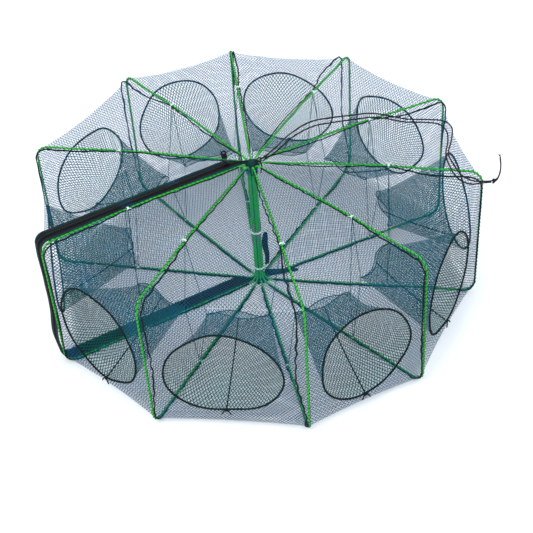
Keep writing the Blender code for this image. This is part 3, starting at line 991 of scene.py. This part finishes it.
def knot_piece():
    """An overhand knot of both strands, its short stiff tail and the tail's loose fibres."""
    rng = random.Random(5)
    centre = np.array(KNOT_AT)
    out, side = np.array((0.97, -0.10, 0.0)), np.array((0.10, 0.97, 0.0))
    turn = circle(60)
    trefoil = (np.outer(np.sin(turn) + 2 * np.sin(2 * turn), side)
               + np.outer(np.cos(turn) - 2 * np.cos(2 * turn), UP)
               - np.outer(np.sin(3 * turn), out))
    knot = Shapes()
    knot.tube(centre + trefoil * 0.0014, CORD_R, 8, True)
    knot.tube(smooth_route(np.array(TAIL) + (0, 0, -0.0026), 0.003)[0], CORD_R * 0.9, 8)
    tip = np.array(TAIL[-1])
    for _ in range(9):
        lean = np.array([rng.uniform(-0.004, 0.004), rng.uniform(0.003, 0.009),
                         rng.uniform(0.001, 0.006)])
        knot.tube(np.array([tip - lean * 0.3, tip + lean * 0.5, tip + lean * (1, 1, 0.6)]),
                  0.00035, 4)
    piece = knot.made("lift_knot", ROPE)
    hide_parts("lift_cord_knot")
    ride_root(piece)
    return piece


def hub_cords():
    """The lift cord's start: a hitch under the zip's end, with two short ends."""
    top = HEIGHT + 0.0018
    turn = circle(30)
    hitch = Shapes()
    ring = np.stack([0.0155 + 0.0050 * np.cos(turn), 0.0005 + 0.0060 * np.sin(turn),
                     top + 0.0020 * np.sin(2 * turn)], 1)
    hitch.tube(ring, CORD_R, 8, True)
    for ends in (((0.018, -0.004, 0), (0.021, -0.016, -0.004), (0.018, -0.024, -0.016)),
                 ((0.013, -0.003, 0), (0.015, -0.013, -0.002), (0.020, -0.021, -0.010))):
        hitch.tube(smooth_route(np.array(ends) + top * UP, 0.003)[0], CORD_R * 0.9, 8)
    ride_root(hitch.made("lift_hitch", ROPE))


# ---------------------------------------------------------------- gathers at the hub

def gathered(name, spine, widths, folds):
    """Netting drawn up into soft pleats round a line, in the dark hem colour, which paints the
    shade inside the pleats.
    """
    spine = np.asarray(spine, float)
    around, count = 48, len(spine)
    turn = circle(around)
    rings = []
    for k, (place, width, way) in enumerate(zip(spine, widths, unit(np.gradient(spine, axis=0)))):
        side = unit(np.cross(way, (0.3, 0.9, 0.1)))
        radius = width * (1 + 0.16 * np.sin(folds * turn + 0.5 * k) + 0.10 * np.sin(5 * turn + k))
        rings.append(place + np.outer(radius * np.cos(turn), side)
                     + np.outer(radius * np.sin(turn), np.cross(way, side)))
    points = np.concatenate(rings)
    points[:, 2] = np.maximum(points[:, 2], 0.0005)
    ride_root(mesh_object(name, points, ring_faces(count, around), SHADED_HEM))


def hub_gathers():
    """Netting drawn in at the roof, in the bundle and on the floor, with a bunch beside it; the
    bundle's dark core is painted shade.
    """
    top = np.linspace(HEIGHT + 0.0006, HEIGHT - 0.030, 9)
    swell = (0.6, 1, 1.08, 1.08, 1.05, 1.03, 1.02, 1.0, 1.0)
    gathered("roof_gather", np.outer(top, UP) + (0.001, 0, 0),
             np.linspace(0.0118, 0.0100, 9) * swell, 11)
    low = np.linspace(0.0010, 0.0120, 5)
    gathered("floor_gather", np.outer(low, UP) + (0.001, 0, 0),
             (0.016, 0.017, 0.0145, 0.0125, 0.0115), 9)
    # painted shade: a dark core, drawn as gathered netting, stands in for the shade seen between
    # the bundle's wires
    core = np.linspace(0.012, HEIGHT - 0.012, 25)
    gathered("bundle_shade_core", np.outer(core, UP), 0.0046 + 0.0004 * np.sin(core * 90), 9)
    out = np.linspace(0.012, 0.085, 12)
    path = np.stack([out, 0.012 + 0.10 * out, 0.006 - 0.045 * out], 1)
    gathered("floor_bunch", path, 0.0068 * np.linspace(1.15, 0.35, 12), 7)


def spare_tape():
    """The zip's spare end, standing behind the bundle."""
    rise = np.linspace(0, 1, 25)
    sway = np.sin(rise * 7)
    spine = np.stack([0.0178 + 0.0016 * sway, 0.007 + 0.003 * sway, 0.036 + 0.088 * rise], 1)
    half = 0.0066 * np.sqrt(np.clip(1 - ((rise - 0.62) / 0.40) ** 4, 0.02, 1))
    half = np.where(rise < 0.62, 0.0042 + 0.0024 * rise / 0.62, half)
    tape = Shapes()
    tape.add(*band(spine, (0.985, 0.17, 0), (-0.17, 0.985, 0), -half, half, -0.0006, 0.0006))
    ride_root(tape.made("spare_zip_tape", TAPE, False))


# ---------------------------------------------------------------- zip

def band(path, across, up, near, far, low, high):
    """A flat band along a path: near and far across it, low and high off it."""
    path = np.asarray(path, float)
    count = len(path)
    across = np.broadcast_to(across, path.shape)
    up = np.broadcast_to(up, path.shape)
    near, far, low, high = (np.broadcast_to(v, count)[:, None] for v in (near, far, low, high))
    points = np.stack([path + across * near + up * low, path + across * far + up * low,
                       path + across * far + up * high, path + across * near + up * high], 1)
    return points.reshape(-1, 3), ring_faces(count, 4)


def zip_line():
    """The zip's line in its frame's plane, the way out from it, and its share of width."""
    top, low, corner = HEIGHT + 0.0005, ZIP_LIFT, ZIP_CORNER_R
    centre = RIM_R + WIRE_R - ZIP_LIFT - corner
    out = np.linspace(ZIP_IN_R, centre, 120)
    turn = np.radians(np.linspace(90, 0, 10))[1:-1]
    drop = np.linspace(top - corner, low + corner, 70)
    r = np.concatenate([out, centre + corner * np.cos(turn), np.full(70, centre + corner),
                        centre + corner * np.cos(turn[::-1]), out[::-1]])
    z = np.concatenate([np.full(120, top), top - corner + corner * np.sin(turn), drop,
                        low + corner - corner * np.sin(turn[::-1]), np.full(120, low)])
    line = np.stack([r, z], 1)
    way = unit(np.gradient(line, axis=0))
    outward = np.stack([-way[:, 1], way[:, 0]], 1)
    rise = np.clip((z - low) / (top - low), 0, 1)
    on_wall = np.clip((r - 0.40) / 0.05, 0, 1)
    slack = ZIP_SLACK * np.sin(2 * np.pi * rise) ** 2 * on_wall * (0.5 + 0.5 * np.cos(5 * rise))
    line = line + outward * slack[:, None]
    plane = np.array((frame_out(ZIP_BAY), UP))
    return line @ plane, outward @ plane, np.clip(r / ZIP_OPEN_R, 0.2, 1)


def zip_bands():
    """Both tapes with their stitches, the coil, and the gathered hems of the netting, dark with
    painted shade.
    """
    path, up, width = zip_line()
    across = -frame_normal(ZIP_BAY)
    rng = np.random.default_rng(3)
    at = np.arange(len(path))
    wave = sum(np.sin(at * rng.uniform(0.15, 0.7) + rng.uniform(0, 6.28)) for _ in range(4)) / 4
    edge = wave * 0.0011
    seam = ZIP_SEAM
    # for each side: its frame, its folded share, and where its tape and its hem start and end
    sides = (("frame_side", ZIP_BAY, ZIP_FOLDED, TAPE_EDGE, seam - 0.0002, 0.0008, 0.0070),
             ("panel_side", 0, FOLDED_SHARE, seam + 0.0002, 2 * seam - TAPE_EDGE, 0.0265, 0.0330))
    for name, index, keep, near, far, hem_near, hem_far in sides:
        tape = Shapes()
        tape.add(*band(path, across, up, near * width, far * width, 0, TAPE_T))
        for line in (near + 0.0022, far - 0.0022):
            stitches = path + across * (line * width)[:, None] + up * (TAPE_T + 0.0001)
            tape.tube(stitches, 0.00035, 4)
        piece = tape.made(f"stitched_tape_{name}", TAPE, False)
        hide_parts(f"zip_tape_{name}")
        follow(piece, index, "fold_01_02")
        hem = Shapes()
        for level, shift in ((0.0002, 0.0), (-0.0012, 0.0012)):
            hem.add(*band(path, across, up, (hem_near + edge + shift) * width,
                          (hem_far + edge - shift * 0.4) * width, level, level + 0.0009))
        # the hems take the dark hem colour, painted shade of their folds
        piece = hem.made(f"gathered_hem_{name}", SHADED_HEM, False)
        follow(piece, index, "fold_01_02")
    zip_coil_turns(path, up, width, across)


def zip_coil_turns(path, up, width, across):
    """The coil's turns, each a loop across the seam."""
    along = distances(path)
    start, end = along[np.searchsorted(path @ frame_out(ZIP_BAY), 0.034)], along[-1] - 0.030
    at = np.arange(start, end, COIL_PITCH / 6)
    turn = 2 * np.pi * (at - start) / COIL_PITCH
    share = np.interp(at, along, width)
    coil = (along_path(path, along, at)
            + across * (share * (ZIP_SEAM + COIL_R * np.cos(turn)))[:, None]
            + along_path(up, along, at) * (0.0021 + 0.0009 * np.sin(turn))[:, None])
    shapes = Shapes()
    shapes.tube(coil, 0.00042, 4)
    piece = shapes.made("coil_turns", COIL)
    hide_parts("zip_coil")
    follow(piece, ZIP_BAY, "fold_01_02")


def pull_tab():
    """The tab hangs on a wire link, so that it can face any way."""
    out, side = frame_out(ZIP_BAY), frame_normal(ZIP_BAY)
    pin = out * SLIDER_R - side * ZIP_SEAM + TAB_PIN_Z * UP
    lean = unit(out * 0.10 + UP)
    twist = math.radians(TAB_TURN)
    wide = side * math.cos(twist) - out * math.sin(twist)
    wide = unit(wide - lean * wide.dot(lean))
    thick = np.cross(lean, wide)
    link = Shapes()
    corners = [(-0.0030, -0.0004), (-0.0030, 0.0075), (0.0030, 0.0075), (0.0030, -0.0004)]
    link.tube([pin + wide * a + lean * b for a, b in corners], 0.0006, 8, True)
    long = (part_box("zip_pull_tab")[1][2] - TAB_PIN_Z) / lean[2] - 0.0065
    count = 32
    turn = circle(count)
    outer = np.stack([np.clip(0.0078 * np.cos(turn), -TAB_HALF_W, TAB_HALF_W),
                      long / 2 + np.clip(0.62 * long * np.sin(turn), -long / 2, long / 2)], 1)
    inner = np.stack([TAB_HOLE_R * np.cos(turn),
                      long - 0.0052 + TAB_HOLE_R * np.sin(turn)], 1)
    base = pin + lean * 0.0062
    plate = [base + wide * a + lean * b + thick * t for t in (-TAB_T / 2, TAB_T / 2)
             for ring in (outer, inner) for a, b in ring]
    faces = []
    for k in range(count):
        n = (k + 1) % count
        faces += [(k, n, count + n, count + k),
                  (2 * count + n, 2 * count + k, 3 * count + k, 3 * count + n),
                  (n, k, 2 * count + k, 2 * count + n),
                  (count + k, count + n, 3 * count + n, 3 * count + k)]
    link.add(plate, faces)
    piece = link.made("pull_tab", METAL, False)
    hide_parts("zip_pull_tab")
    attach(piece, NODE_BODY["zip_pull_tab"])


# ---------------------------------------------------------------- materials of carried nodes

def finish_nodes():
    """Paints the wires, the slider and the cable ties."""
    paints = {"frame_wire": WIRE, "zip_slider": METAL, "bundle_tie": PALE}
    for name, piece in frame["nodes"].items():
        paint = paints.get("_".join(name.split("_")[:2]))
        if paint is None:
            continue
        for slot in piece.material_slots:
            slot.material = paint
        piece.data.shade_smooth()
        piece.data.set_sharp_from_angle(angle=math.radians(35))


make_camera()
lift_cord()
make_studio()
for bay in BAY:
    bay_nets(bay)
    bay_funnel(bay)
    entrance(bay)
for number in range(BAYS):
    seams(number)
    spoke_ties(number)
    sleeves(number)
hub_cords()
hub_gathers()
spare_tape()
zip_bands()
pull_tab()
finish_nodes()

bpy.context.view_layer.update()
